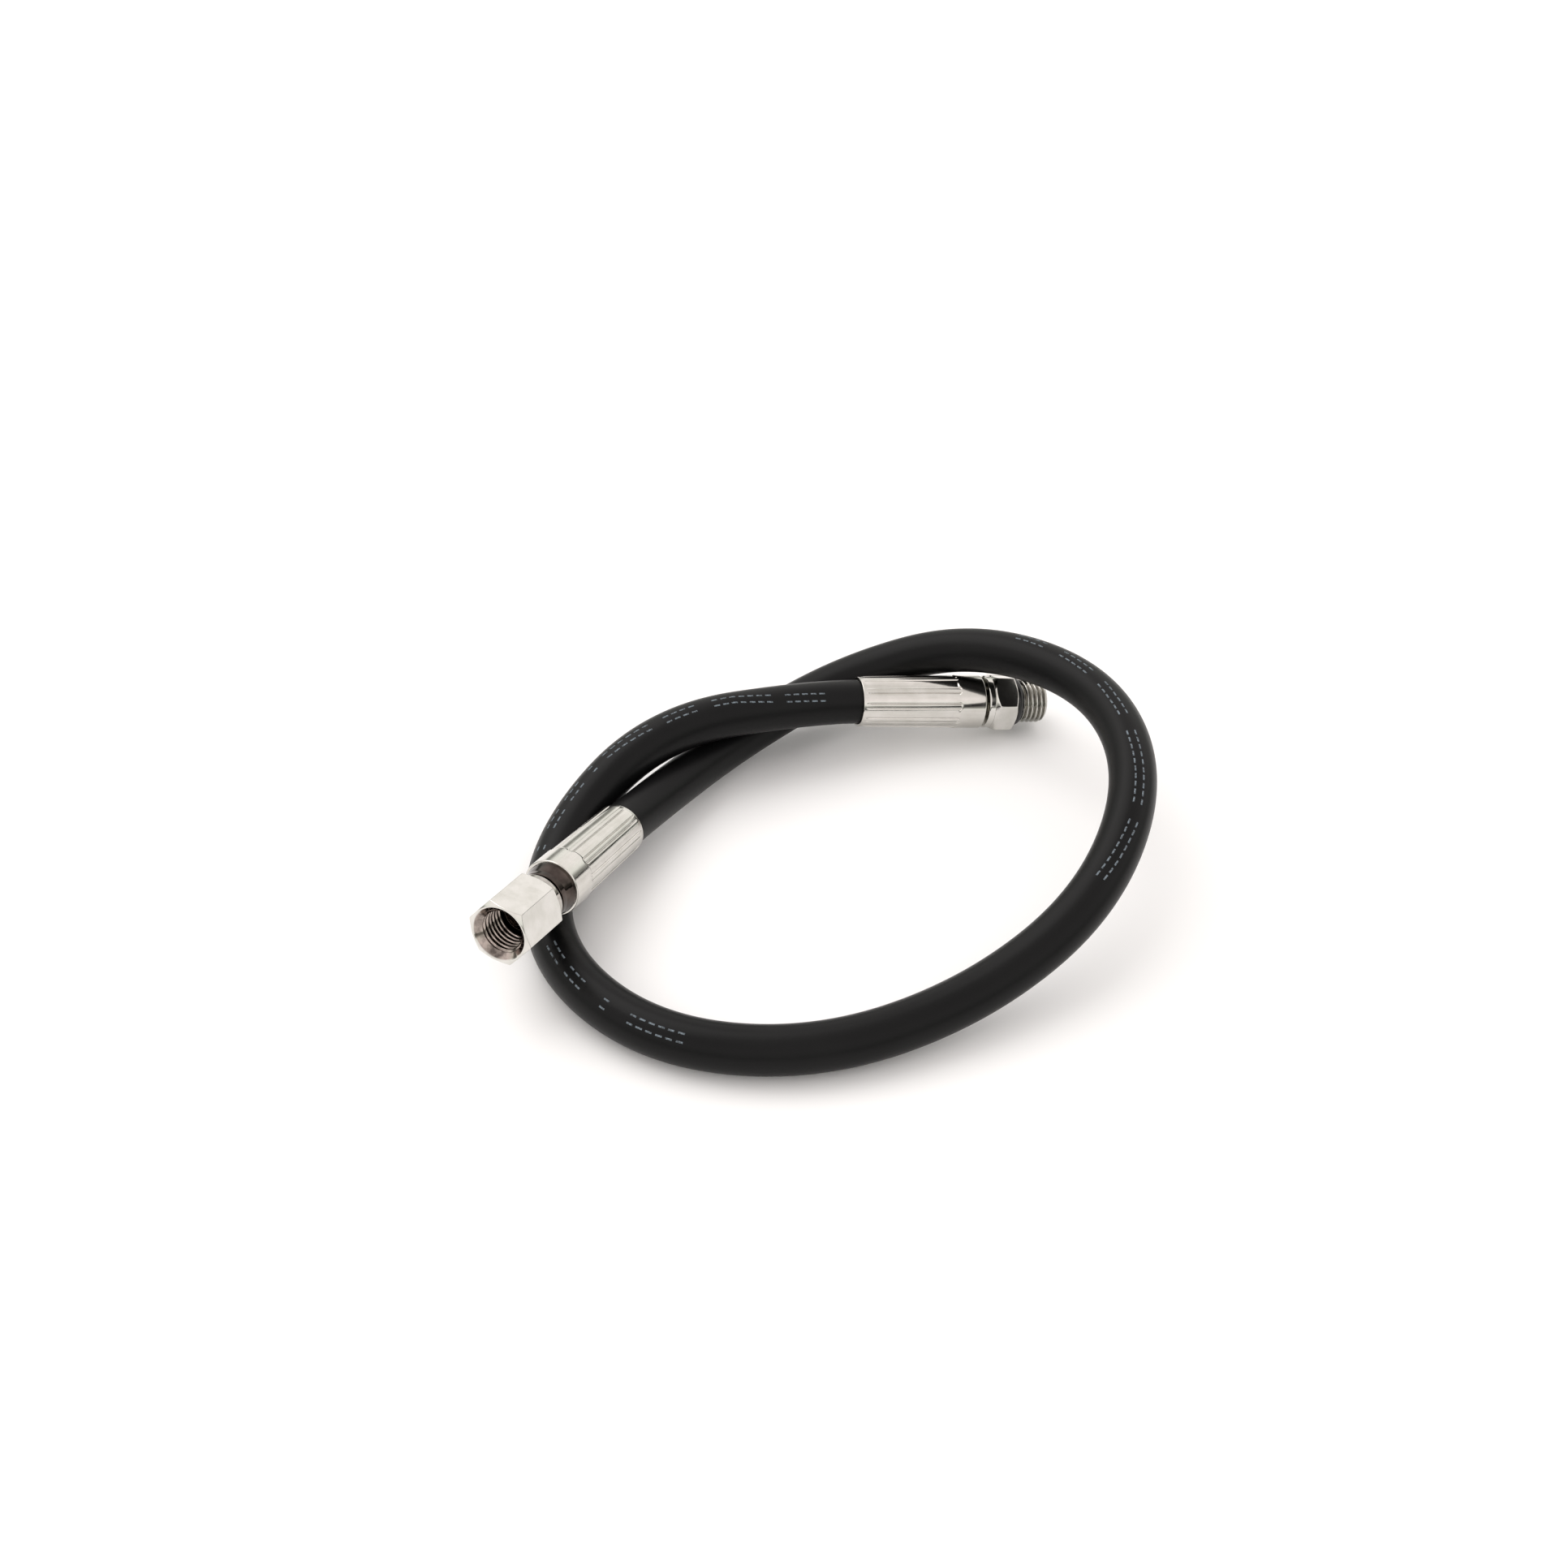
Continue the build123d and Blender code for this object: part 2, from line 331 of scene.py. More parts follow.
def plated_steel(name, recess_shade, low, high):
    """Bright nickel plate with faint clouding and fine turned lines.

    It is darkened with painted shade where it is nearer to the fitting's axis than low to high metres.
    """
    m = Nodes(name, fitting=True, Metallic=1.0)
    cloud = m.noise(260)
    outside = m.ramp(cloud, [(0.3, (0.58, 0.57, 0.53)), (0.62, (0.68, 0.665, 0.635))], to=None)
    # Painted shade: the darker colour used nearer the axis, for the fitting's hollows.
    inside = m.ramp(m.noise(420, detail=3), recess_shade, to=None)
    m.split_by_radius(inside, outside, low, high)
    grain = m.noise(2600, detail=6)
    m.ramp(m.mixed(cloud, grain, 0.45), [(0.3, 0.05), (0.7, 0.15)], to="Roughness")
    m.bump(m.mixed(m.bands(900), grain, 0.6), 0.0000012)
    return m.material


def nut_steel():
    """The nut's plate, with painted shade, dark brown, in the threaded bore."""
    # Painted shade colours for the inside of the bore.
    recess_shade = [(0.35, (0.12, 0.10, 0.09)), (0.6, (0.40, 0.345, 0.31))]
    return plated_steel("nut_steel", recess_shade, 0.0063, 0.0065)


def male_steel():
    """The male stem's plate, darkened by painted shade in the thread's roots and in the groove behind the
    ring.
    """
    # Painted shade colours for the thread's roots and the groove.
    recess_shade = [(0.35, (0.08, 0.075, 0.062)), (0.6, (0.24, 0.23, 0.195))]
    return plated_steel("male_steel", recess_shade, 0.0047, 0.0056)


def painted_dark_steel():
    """The swivel stem's polished steel, painted dark and slightly brown as a painted reflection of dark
    surroundings.
    """
    m = Nodes("painted_dark_steel", fitting=True, Metallic=1.0)
    mottle = m.noise(180, detail=3)
    # Painted reflection: the dark base colour stands in for dark surroundings mirrored in the polished
    # steel.
    m.ramp(mottle, [(0.3, (0.025, 0.02, 0.018)), (0.65, (0.10, 0.08, 0.07))])
    m.ramp(mottle, [(0.3, 0.06), (0.7, 0.14)], to="Roughness")
    m.bump(m.bands(1100), 0.0000015)
    return m.material


def crimped_steel():
    """The plate of a ferrule, with the dull drag marks of the crimping jaws along it."""
    m = Nodes("crimped_steel", fitting=True, Metallic=1.0)
    cloud = m.noise(200)
    drag = m.noise(1500, detail=5, stretch=(1, 1, 0.06))
    m.ramp(m.mixed(cloud, drag, 0.4), [(0.3, (0.53, 0.515, 0.475)), (0.65, (0.66, 0.64, 0.61))])
    m.ramp(m.mixed(cloud, drag, 0.6), [(0.3, 0.07), (0.7, 0.19)], to="Roughness")
    m.bump(m.mixed(drag, m.noise(420, detail=2), 0.6), 0.000006)
    return m.material


def cover_rubber():
    """Satin black rubber with a fine skin and a little dust."""
    m = Nodes("cover_rubber", Specular_IOR_Level=0.15)
    skin = m.noise(2200, detail=5)
    patches = m.noise(45, detail=3)
    m.ramp(m.mixed(patches, skin, 0.3), [(0.3, (0.002, 0.002, 0.0022)), (0.7, (0.005, 0.005, 0.0052))])
    m.ramp(m.mixed(patches, skin, 0.5), [(0.3, 0.30), (0.7, 0.42)], to="Roughness")
    m.bump(m.mixed(skin, m.noise(600, detail=2), 0.4), 0.00003)
    return m.material


def tube_rubber():
    """Dull black rubber of the hose's bore and of the layer between its braids."""
    m = Nodes("tube_rubber")
    grain = m.noise(1800)
    m.ramp(grain, [(0.3, (0.02, 0.02, 0.021)), (0.7, (0.04, 0.04, 0.042))])
    m.ramp(grain, [(0.3, 0.6), (0.7, 0.78)], to="Roughness")
    m.bump(grain, 0.00003)
    return m.material


def braid_yarn():
    """Pale yarn braid: two sets of bands crossing at a slant."""
    m = Nodes("braid_yarn", Roughness=0.8)
    slanted = []
    for angle in (0.95, -0.95):
        mapping = m.add("ShaderNodeMapping")
        mapping.inputs["Rotation"].default_value = (angle, 0.3, angle)
        m.link(m.place, mapping, "Vector")
        wave = m.add("ShaderNodeTexWave", wave_type="BANDS", bands_direction="X")
        wave.inputs["Scale"].default_value = 420
        m.link(mapping.outputs["Vector"], wave, "Vector")
        slanted.append(wave.outputs["Fac"])
    weave = m.mixed(slanted[0], slanted[1], 0.5)
    m.ramp(weave, [(0.25, (0.34, 0.31, 0.24)), (0.7, (0.68, 0.63, 0.52))])
    m.bump(weave, 0.0002)
    return m.material


def seal_rubber():
    """Smooth black O-ring rubber with a film of grease."""
    m = Nodes("seal_rubber", fitting=True)
    mottle = m.noise(700, detail=3)
    m.ramp(mottle, [(0.3, (0.006, 0.006, 0.006)), (0.7, (0.013, 0.013, 0.013))])
    m.ramp(mottle, [(0.3, 0.22), (0.7, 0.38)], to="Roughness")
    m.bump(mottle, 0.00002)
    return m.material


def print_ink():
    """Thin pale ink, broken by the rubber's skin."""
    m = Nodes("print_ink", Roughness=0.6)
    wear = m.noise(2600, detail=4)
    m.ramp(wear, [(0.38, (0.03, 0.035, 0.04)), (0.56, (0.15, 0.185, 0.215))])
    m.bump(wear, 0.00001)
    return m.material


def floor_white():
    """The matt white sheet under the hose."""
    m = Nodes("floor_white", Roughness=0.75)
    m.ramp(m.noise(5, detail=2), [(0.3, (0.93, 0.93, 0.93)), (0.7, (0.95, 0.95, 0.95))])
    return m.material


# Meshes


def new_piece(name, verts, faces, material, body, place=None):
    """A smooth-shaded mesh object that rides on a body.

    With a place, verts are in that frame, and the mesh keeps them as its attribute "fitting".
    """
    mesh = bpy.data.meshes.new(name)
    mesh.from_pydata(verts, [], faces)
    mesh.polygons.foreach_set("use_smooth", [True] * len(mesh.polygons))
    mesh.materials.append(material)
    if place is not None:
        kept = mesh.attributes.new("fitting", "FLOAT_VECTOR", "POINT")
        kept.data.foreach_set("vector", [number for vert in verts for number in vert])
        mesh.transform(place)
    obj = bpy.data.objects.new(name, mesh)
    bpy.context.scene.collection.objects.link(obj)
    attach(obj, body)
    return obj


def end_frame(hose_end, next_point):
    """The frame of an end fitting: its ferrule's rim, Z out of the hose and X nearest to straight up."""
    outward = (Vector(hose_end) - Vector(next_point)).normalized()
    upward = (Vector((0, 0, 1)) - outward * outward.z).normalized()
    axes = Matrix((upward, outward.cross(upward), outward)).transposed()
    rim = Vector(hose_end) - outward * HOSE_IN_FERRULE
    return Matrix.Translation(rim) @ axes.to_4x4()


def rounded(corners, steps=4):
    """A line through corners of (station, radius, rounding), each rounded by an arc of steps chords.

    Beside a long run the arc gets one more point, which keeps the run's shading straight.
    """
    line = [corners[0][:2]]
    for before, corner, after in zip(corners, corners[1:], corners[2:]):
        here = Vector(corner[:2])
        back = Vector(before[:2]) - here
        on = Vector(after[:2]) - here
        half_turn = (math.pi - back.angle(on)) / 2
        if corner[2] == 0:
            line.append(tuple(here))
            continue
        reach = min(corner[2] * math.tan(half_turn), 0.45 * back.length, 0.45 * on.length)
        start = here + back.normalized() * reach
        end = here + on.normalized() * reach
        if back.length > LONG_RUN:
            line.append(tuple(here + back.normalized() * (reach + SUPPORT)))
        for step in range(steps + 1):
            t = step / steps
            curve = start.lerp(here, t).lerp(here.lerp(end, t), t)
            line.append(tuple(curve))
        if on.length > LONG_RUN:
            line.append(tuple(here + on.normalized() * (reach + SUPPORT)))
    line.append(corners[-1][:2])
    return line


def ring_mesh(name, angles, loop_at, material, body, place):
    """A closed ring about the Z axis of place.

    loop_at(angle) is its outline at that angle, as points of (station, radius).
    """
    loops = [loop_at(angle) for angle in angles]
    rows = len(loops[0])
    verts = []
    for angle, loop in zip(angles, loops):
        across, up = math.cos(angle) * MM, math.sin(angle) * MM
        verts += [(radius * across, radius * up, station * MM) for station, radius in loop]
    faces = []
    for column in range(len(angles)):
        near, far = column * rows, (column + 1) % len(angles) * rows
        for row in range(rows):
            on = (row + 1) % rows
            faces.append((near + row, far + row, far + on, near + on))
    return new_piece(name, verts, faces, material, body, place)


def repeated_angles(count, first, offsets):
    """Angles about an axis: count sectors from first degrees, each with those offsets on both sides."""
    sector = sorted({-offset for offset in offsets[:-1]} | set(offsets))
    starts = [first + index * 360 / count for index in range(count)]
    return [math.radians(start + offset) for start in starts for offset in sector]


def even_angles(count):
    """Evenly spaced angles about an axis."""
    return [2 * math.pi * index / count for index in range(count)]


def hexagon_radius(angle, turn):
    """The radius of a hexagon with one corner at turn degrees and its edges rounded."""
    sector = math.pi / 3
    offset = (angle - math.radians(turn) + sector / 2) % sector - sector / 2
    centre = (APOTHEM - HEX_EDGE) / math.cos(sector / 2)
    touch = math.atan2(HEX_EDGE * math.sin(sector / 2), centre + HEX_EDGE * math.cos(sector / 2))
    if abs(offset) > touch:
        return APOTHEM / math.cos(sector / 2 - abs(offset))
    across = centre * math.sin(offset)
    return centre * math.cos(offset) + math.sqrt(HEX_EDGE**2 - across**2)


def thread_radius(station, angle, crest, root, inside=False):
    """The radius of a right-hand 60 degree thread at a station and an angle."""
    turns = (station / PITCH - angle / (2 * math.pi)) % 1.0
    from_high = min(turns, 1 - turns) * PITCH
    drop = max(from_high - PITCH / 16, 0.0) * FLANK_SLOPE
    high, low = (root, crest) if inside else (crest, root)
    return max(high - drop, low)


# Hose


def hose_line():
    """Points along the hose, read from the NURBS spline that the route controls."""
    curve = bpy.data.curves.new("hose_line", "CURVE")
    curve.dimensions = "3D"
    spline = curve.splines.new("NURBS")
    spline.points.add(len(ROUTE) - 1)
    for point, place in zip(spline.points, ROUTE):
        point.co = (*place, 1)
    spline.order_u = 3
    spline.use_endpoint_u = True
    spline.resolution_u = ROUTE_STEPS
    holder = bpy.data.objects.new("hose_line", curve)
    bpy.context.scene.collection.objects.link(holder)
    bpy.context.view_layer.update()
    mesh = bpy.data.meshes.new_from_object(holder)
    line = [vertex.co.copy() for vertex in mesh.vertices]
    bpy.data.objects.remove(holder)
    bpy.data.curves.remove(curve)
    bpy.data.meshes.remove(mesh)
    return [line[0]] + [b for a, b in zip(line, line[1:]) if (b - a).length > 1e-7]


class HoseLine:
    """The hose's line with the distance along it, and its direction and side at any distance."""

    def __init__(self, points):
        self.points = points
        self.distances = [0.0]
        for a, b in zip(points, points[1:]):
            self.distances.append(self.distances[-1] + (b - a).length)
        self.length = self.distances[-1]

    def at(self, distance):
        """The point and the direction at a distance along the line."""
        index = 1
        while index < len(self.points) - 1 and self.distances[index] < distance:
            index += 1
        a, b = self.points[index - 1], self.points[index]
        start, end = self.distances[index - 1], self.distances[index]
        share = (distance - start) / (end - start)
        before = self.points[max(index - 2, 0)]
        after = self.points[min(index + 1, len(self.points) - 1)]
        direction = (a - before).lerp(after - b, 0.5) + (b - a)
        return a.lerp(b, share), direction.normalized()

    def side(self, direction, degrees):
        """The direction across the line that is that far about it from straight up."""
        up = (Vector((0, 0, 1)) - direction * direction.z).normalized()
        across = direction.cross(up)
        turn = math.radians(degrees)
        return up * math.cos(turn) + across * math.sin(turn)


def hose_layer(name, node, line, inner, outer, material):
    """One layer of the hose: a tube with a real wall that follows the line."""
    verts = []
    for distance, point in zip(line.distances, line.points):
        direction = line.at(distance)[1]
        to_end = min(distance, line.length - distance)
        surface = outer
        if outer > SQUEEZED_RADIUS:
            widening = smooth(HOSE_IN_FERRULE - SQUEEZE_RUN, HOSE_IN_FERRULE, to_end)
            surface = lerp(SQUEEZED_RADIUS, outer, widening)
        for radius in (surface, inner):
            for side in range(HOSE_SIDES):
                verts.append(point + line.side(direction, 360 / HOSE_SIDES * side) * radius)
    faces = []
    for ring in range(len(line.points) - 1):
        for wall in range(2):
            near = (2 * ring + wall) * HOSE_SIDES
            far = near + 2 * HOSE_SIDES
            for side in range(HOSE_SIDES):
                on = (side + 1) % HOSE_SIDES
                face = (near + side, near + on, far + on, far + side)
                faces.append(face if wall else face[::-1])
    last = (2 * len(line.points) - 2) * HOSE_SIDES
    for side in range(HOSE_SIDES):
        on = (side + 1) % HOSE_SIDES
        faces.append((side, side + HOSE_SIDES, on + HOSE_SIDES, on))
        faces.append((last + side, last + on, last + on + HOSE_SIDES, last + side + HOSE_SIDES))
    obj = new_piece(name, verts, faces, material, "hose")
    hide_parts(node)
    return obj


def print_patch(line, start, end, offset, verts, faces):
    """Adds one printed dash: a thin patch on the cover, between two distances along it."""
    along = max(2, round((end - start) / PRINT_FACET))
    first = len(verts)
    radius = HOSE_DIAMETER / 2
    for layer in (-PRINT_HEIGHT, PRINT_HEIGHT):
        for i in range(along + 1):
            distance = lerp(start, end, i / along)
            point, direction = line.at(distance)
            middle = table_value(PRINT_SIDE, distance)
            for j in range(PRINT_COLUMNS + 1):
                wide = offset + PRINT_ROW_WIDTH * (j / PRINT_COLUMNS - 0.5)
                degrees = middle + math.degrees(wide / radius)
                verts.append(point + line.side(direction, degrees) * (radius + layer))
    row = PRINT_COLUMNS + 1
    top = (along + 1) * row
    for i in range(along):
        for j in range(PRINT_COLUMNS):
            a = first + i * row + j
            faces.append((a, a + row, a + row + 1, a + 1))
            faces.append((a + top, a + top + 1, a + top + row + 1, a + top + row))
    rim = list(range(row))
    rim += [i * row + PRINT_COLUMNS for i in range(1, along + 1)]
    rim += [along * row + j for j in range(PRINT_COLUMNS - 1, -1, -1)]
    rim += [i * row for i in range(along - 1, 0, -1)]
    for a, b in zip(rim, rim[1:] + rim[:1]):
        faces.append((first + a, first + b, first + b + top, first + a + top))


def print_group(index, line, start, end, material):
    """One group of printed dashes in two rows."""
    verts, faces = [], []
    for mark in range(round((end - start) / PRINT_PITCH)):
        distance = start + mark * PRINT_PITCH
        for offset in PRINT_ROWS:
            print_patch(line, distance, distance + PRINT_MARK, offset, verts, faces)
    return new_piece(f"print_dashes_{index + 1}", verts, faces, material, "hose")


# Fittings


def tail_corners():
    """The stem's outline inside the hose and the ferrule: barbs, body and the collar's lock."""
    corners = [(TAIL_START, TAIL_RADIUS - BARB_EDGE, 0.1)]
    for barb in range(BARBS):
        foot = TAIL_START + BARB_EDGE + barb * BARB_PITCH
        corners += [(foot, TAIL_RADIUS, 0.1), (foot + BARB_PITCH - BARB_EDGE, BARB_RADIUS, 0.05)]
    return corners + [
        (TAIL_END, TAIL_RADIUS, 0.1),
        (TAIL_END, BODY_RADIUS, 0.1),
        (CRIMP_END - LOCK_LENGTH, BODY_RADIUS, 0.1),
        (CRIMP_END - LOCK_LENGTH, LOCK_RADIUS, 0.1),
        (CRIMP_END - SEAT_GAP, LOCK_RADIUS, 0.1),
        (CRIMP_END - SEAT_GAP, COLLAR_BORE - SEAT_GAP, 0.1),
        (FERRULE_LENGTH, COLLAR_BORE - SEAT_GAP, 0.05),
    ]


def ferrule(name, node, place, material):
    """The crimped sleeve: a rolled rim, a ridge between each two jaw marks and an uncrimped collar."""
    sector = 2 * math.pi / JAWS
    stations = [0.7, 1.2, 2, 4, 7, 10, 13, 16, 19, 22, 24, 25, 25.5]
    stations += [25.8 + 0.12 * step for step in range(14)] + [27.6, 28.3]

    def surface(station, angle):
        base = lerp(RIM_RADIUS, CRIMP_RADIUS, min(station / CRIMP_END, 1))
        offset = (angle - math.radians(JAW_TURN) + sector / 2) % sector - sector / 2
        apart = abs(offset) * base
        ridge = RIDGE_HEIGHT * (1 - smooth(RIDGE_HALF_WIDTH - 0.15, RIDGE_HALF_WIDTH + 0.05, apart))
        line = JAW_LINE_DEPTH * math.exp(-(((apart - RIDGE_HALF_WIDTH - 0.1) / JAW_LINE_WIDTH) ** 2))
        crimped = base + (ridge - line) * smooth(0.6, 2.0, station)
        start = CRIMP_END - STEP_LENGTH / 2 - STEP_WAVE * smooth(0.2, 1.4, apart)
        return lerp(crimped, COLLAR_RADIUS, smooth(start, start + STEP_LENGTH, station))

    def loop(angle):
        rim = surface(0, angle)
        outline = rounded([
            (4.0, FERRULE_BORE),
            (0.6, FERRULE_BORE, 0.8),
            (0, FERRULE_BORE + RIM_FLARE, 0.25),
            (0, rim, RIM_EDGE),
            (0.65, rim),
        ], 5)
        outline += [(station, surface(station, angle)) for station in stations]
        outline += rounded([
            (29, COLLAR_RADIUS),
            (FERRULE_LENGTH, COLLAR_RADIUS, COLLAR_EDGE),
            (FERRULE_LENGTH, COLLAR_BORE, 0.1),
            (CRIMP_END, COLLAR_BORE, 0.1),
            (CRIMP_END, FERRULE_BORE, 0.1),
            (20, FERRULE_BORE),
        ])
        return outline

    offsets = [0, 1.2, 2.4, 3.2, 3.8, 4.3, 4.8, 5.2, 5.6, 6.0, 6.5, 7.2, 8.5, 10.5, 13, 15.5, 18]
    obj = ring_mesh(name, repeated_angles(JAWS, JAW_TURN, offsets), loop, material, "hose", place)
    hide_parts(node)
    return obj


def swivel_stem(place, material):
    """The stem that the nut turns on, with a hollow shoulder, a neck and a coned seat."""
    shoulder = [
        (FERRULE_LENGTH, SHOULDER_RADIUS, 0.05),
        (FERRULE_LENGTH + 0.5, SHOULDER_RADIUS, 0.2),
        (FERRULE_LENGTH + 1.6, WAIST_RADIUS + 0.25, 1.0),
        (FERRULE_LENGTH + 3.2, WAIST_RADIUS, 1.5),
        (SHOULDER_END, WAIST_RADIUS, 0.2),
        (SHOULDER_END, NECK_RADIUS, 0.15),
        (HEAD_REAR, NECK_RADIUS, 0.15),
        (HEAD_REAR, HEAD_RADIUS, 0.2),
        (HEAD_FRONT, HEAD_RADIUS, 0.4),
        (HEAD_FRONT, SEAT_RADIUS, 0.1),
        (HEAD_FRONT - SEAT_DEPTH, BORE, 0.1),
        (HEAD_FRONT - SEAT_DEPTH - 4, BORE),
    ]
    outline = rounded([(TAIL_START + 4, BORE), (TAIL_START, BORE, 0.1)] + tail_corners() + shoulder, 5)
    obj = ring_mesh("swivel_stem_turned", even_angles(120), lambda angle: outline, material, "hose", place)
    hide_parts("swivel_stem")
    return obj


HEX_OFFSETS = [0, 0.4, 0.8, 1.26, 1.8, 2.8, 4.5, 7, 10, 13.5, 17, 21, 25.5, 30]


def swivel_nut(place, material):
    """The long hexagon nut with its round hub and its threaded, countersunk mouth."""
    face_depth = NUT_FRONT - 0.3
    rows = int((face_depth - RELIEF_END) / PITCH * THREAD_ROWS)
    stations = [lerp(face_depth, RELIEF_END, row / rows) for row in range(rows + 1)]

    def bore(station, angle):
        thread = thread_radius(station, angle, INNER_THREAD_RADIUS, MAJOR_RADIUS, inside=True)
        mouth = COUNTERSINK_RADIUS - (NUT_FRONT - station)
        runout = RELIEF_RADIUS - (station - RELIEF_END) * 1.5
        return max(thread, mouth, runout)

    def loop(angle):
        corner = hexagon_radius(angle, NUT_TURN)
        rise = (corner - CHAMFER_RADIUS) * CHAMFER_SLOPE
        outline = rounded([
            (NUT_REAR + 1.5, NUT_REAR_HOLE),
            (NUT_REAR, NUT_REAR_HOLE, 0.15),
            (NUT_REAR, HUB_RADIUS, 0.4),
            (HUB_END, HUB_RADIUS, 0.15),
            (HUB_END + 0.05, CHAMFER_RADIUS, 0.15),
            (HUB_END + 0.05 + rise, corner, 0.3),
            (NUT_FRONT - rise, corner, 0.3),
            (NUT_FRONT, CHAMFER_RADIUS, 0.15),
            (NUT_FRONT, COUNTERSINK_RADIUS, 0.12),
            (NUT_FRONT - 0.25, COUNTERSINK_RADIUS - 0.25),
        ])
        outline += [(station, bore(station, angle)) for station in stations]
        outline += rounded([
            (RELIEF_END - 0.1, RELIEF_RADIUS),
            (NUT_REAR + NUT_REAR_WALL, RELIEF_RADIUS, 0.3),
            (NUT_REAR + NUT_REAR_WALL, NUT_REAR_HOLE, 0.15),
            (NUT_REAR + NUT_REAR_WALL - 0.6, NUT_REAR_HOLE),
        ])
        return outline

    angles = repeated_angles(6, NUT_TURN, HEX_OFFSETS)
    obj = ring_mesh("swivel_nut_threaded", angles, loop, material, "nut", place)
    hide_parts("swivel_nut")
    return obj


def male_stem(place, material):
    """The stem with a ring, a fixed hexagon, an O-ring seat and a male thread."""
    first, last = THREAD_REAR - 0.1, TIP - 0.12
    rows = int((last - first) / PITCH * THREAD_ROWS)
    stations = [lerp(first, last, row / rows) for row in range(rows + 1)]

    def thread(station, angle):
        radius = thread_radius(station, angle, MAJOR_RADIUS, OUTER_THREAD_ROOT)
        lead_in = TIP_RADIUS + (TIP - station)
        runout = SEAL_SEAT_RADIUS + (station - first) * 1.6
        return min(radius, lead_in, runout)

    def loop(angle):
        corner = hexagon_radius(angle, HEX_TURN)
        rise = (corner - CHAMFER_RADIUS) * CHAMFER_SLOPE
        outline = rounded([(TAIL_START + 4, BORE), (TAIL_START, BORE, 0.1)] + tail_corners() + [
            (FERRULE_LENGTH, GROOVE_RADIUS, 0.05),
            (RING_REAR, GROOVE_RADIUS, 0.15),
            (RING_REAR, RING_RADIUS, 0.4),
            (HEX_REAR - 0.05, RING_RADIUS, 0.35),
            (HEX_REAR + 0.1, CHAMFER_RADIUS - 0.1, 0.05),
            (HEX_REAR + 0.25 + rise, corner, 0.3),
            (HEX_FRONT - rise, corner, 0.3),
            (HEX_FRONT, CHAMFER_RADIUS, 0.15),
            (HEX_FRONT, SEAL_SEAT_RADIUS, 0.1),
            (first - 0.1, SEAL_SEAT_RADIUS),
        ])
        outline += [(station, thread(station, angle)) for station in stations]
        outline += rounded([
            (TIP - 0.1, TIP_RADIUS + 0.1),
            (TIP, TIP_RADIUS, 0.08),
            (TIP, MALE_BORE, 0.3),
            (TIP - MALE_BORE_DEPTH, MALE_BORE, 0.2),
            (TIP - MALE_BORE_DEPTH, BORE, 0.1),
            (TIP - MALE_BORE_DEPTH - 4, BORE),
        ])
        return outline

    angles = repeated_angles(6, HEX_TURN, HEX_OFFSETS)
    obj = ring_mesh("male_stem_threaded", angles, loop, material, "hose", place)
    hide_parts("male_stem")
    return obj


def o_ring(place, material):
    """The O-ring on its seat."""
    middle = (HEX_FRONT + THREAD_REAR) / 2
    section = [(middle + SEAL_RADIUS * math.sin(turn), SEAL_MIDDLE + SEAL_RADIUS * math.cos(turn))
               for turn in even_angles(28)]
    section = section[::-1]
    obj = ring_mesh("male_o_ring_seal", even_angles(96), lambda angle: section, material, "hose", place)
    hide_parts("male_o_ring")
    return obj


# Stage


def look_at(obj, target):
    """Turns a camera or a light towards a point."""
    direction = Vector(target) - obj.location
    obj.rotation_euler = direction.to_track_quat("-Z", "Y").to_euler()


def overhead_light():
    """A dim square soft box above the hose."""
    light = bpy.data.lights.new("overhead", "AREA")
    light.shape = "SQUARE"
    light.size = LIGHT_SIZE
    light.energy = LIGHT_POWER
    light.color = LIGHT_COLOUR
    obj = bpy.data.objects.new("overhead", light)
    obj.location = LIGHT_PLACE
    bpy.context.scene.collection.objects.link(obj)
    look_at(obj, (0, 0, 0))


def floor():
    """A large plain floor."""
    half = FLOOR_SIZE / 2
    corners = [(-half, -half, 0), (half, -half, 0), (half, half, 0), (-half, half, 0)]
    mesh = bpy.data.meshes.new("floor")
    mesh.from_pydata(corners, [], [(0, 1, 2, 3)])
    mesh.materials.append(floor_white())
    obj = bpy.data.objects.new("floor", mesh)
    bpy.context.scene.collection.objects.link(obj)


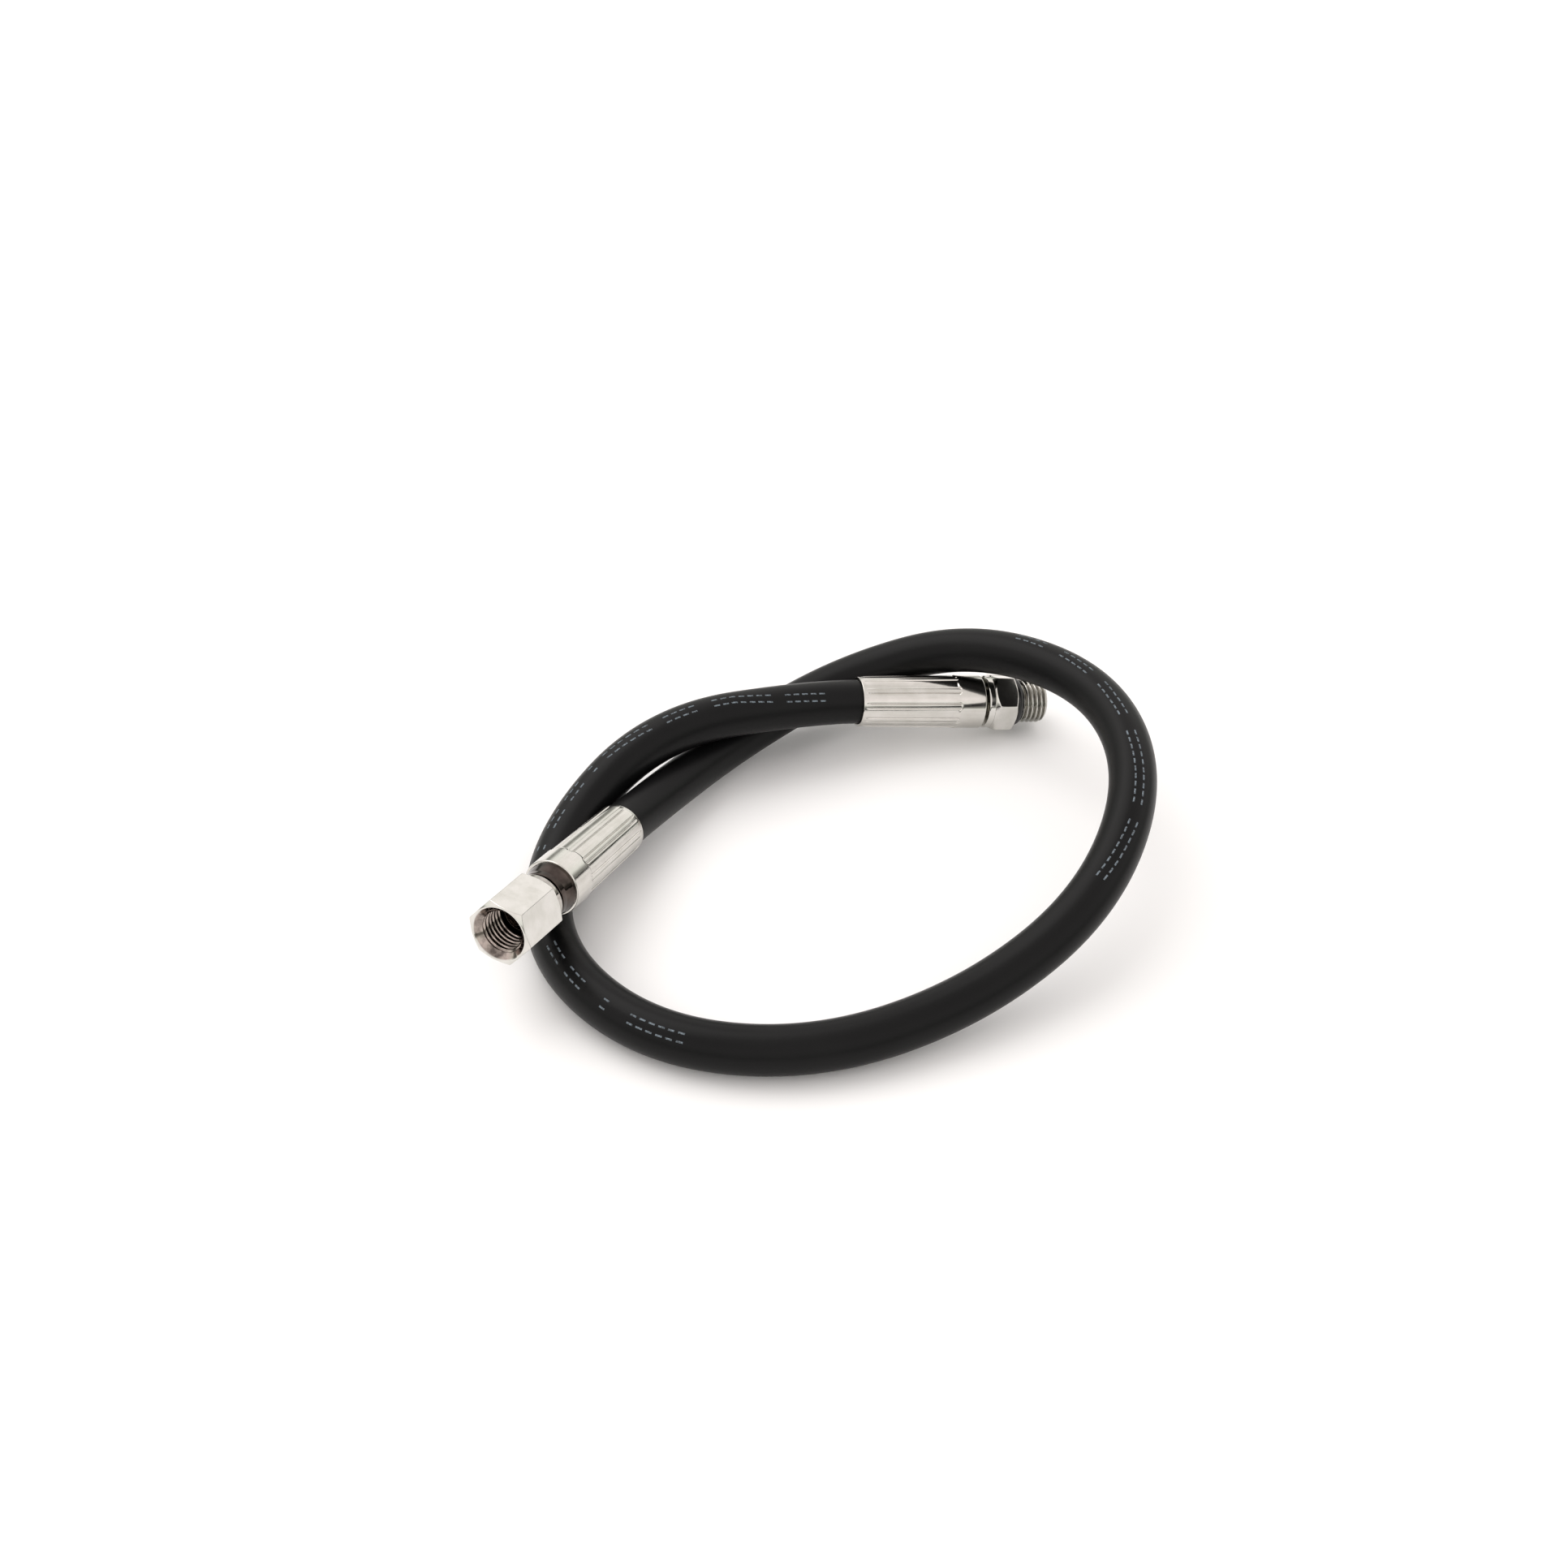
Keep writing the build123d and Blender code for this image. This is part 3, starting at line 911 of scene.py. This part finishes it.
def sky():
    """The pale surroundings: a dim strip along the horizon under a bright sky."""
    world = bpy.data.worlds.new("studio")
    world.use_nodes = True
    tree = world.node_tree
    coordinates = tree.nodes.new("ShaderNodeTexCoord")
    split = tree.nodes.new("ShaderNodeSeparateXYZ")
    ramp = tree.nodes.new("ShaderNodeValToRGB")
    tree.links.new(coordinates.outputs["Generated"], split.inputs["Vector"])
    tree.links.new(split.outputs["Z"], ramp.inputs["Fac"])
    elements = ramp.color_ramp.elements
    while len(elements) < len(SKY):
        elements.new(0.5)
    for element, (position, colour) in zip(elements, SKY):
        element.position = position
        element.color = (*colour, 1)
    tree.links.new(ramp.outputs["Color"], tree.nodes["Background"].inputs["Color"])
    tree.nodes["Background"].inputs["Strength"].default_value = SKY_STRENGTH
    bpy.context.scene.world = world


def camera():
    """The camera, at the photograph's viewing angle."""
    data = bpy.data.cameras.new("camera")
    data.lens = FOCAL_LENGTH
    data.sensor_width = SENSOR
    data.clip_start = 0.01
    obj = bpy.data.objects.new("camera", data)
    obj.location = CAMERA_PLACE
    bpy.context.scene.collection.objects.link(obj)
    look_at(obj, CAMERA_TARGET)
    bpy.context.scene.camera = obj


def main():
    """Builds the hose, its fittings and the stage."""
    camera()
    floor()
    sky()
    overhead_light()
    bpy.context.scene.view_settings.view_transform = "Standard"

    crimped = crimped_steel()
    hose_materials = {
        "tube_rubber": tube_rubber(),
        "braid_yarn": braid_yarn(),
        "cover_rubber": cover_rubber(),
    }
    line = HoseLine(hose_line())
    for node, inner, outer, slot in HOSE_LAYERS:
        hose_layer(f"{node}_laid", node, line, inner, outer, hose_materials[slot])
    ink = print_ink()
    printed = [print_group(index, line, *span, ink) for index, span in enumerate(PRINT_GROUPS)]

    swivel_end = end_frame(ROUTE[0], ROUTE[2])
    male_end = end_frame(ROUTE[-1], ROUTE[-3])
    metal = [
        ferrule("swivel_ferrule_crimped", "swivel_ferrule", swivel_end, crimped),
        ferrule("male_ferrule_crimped", "male_ferrule", male_end, crimped),
        swivel_stem(swivel_end, painted_dark_steel()),
        swivel_nut(swivel_end, nut_steel()),
        male_stem(male_end, male_steel()),
    ]
    o_ring(male_end, seal_rubber())


main()
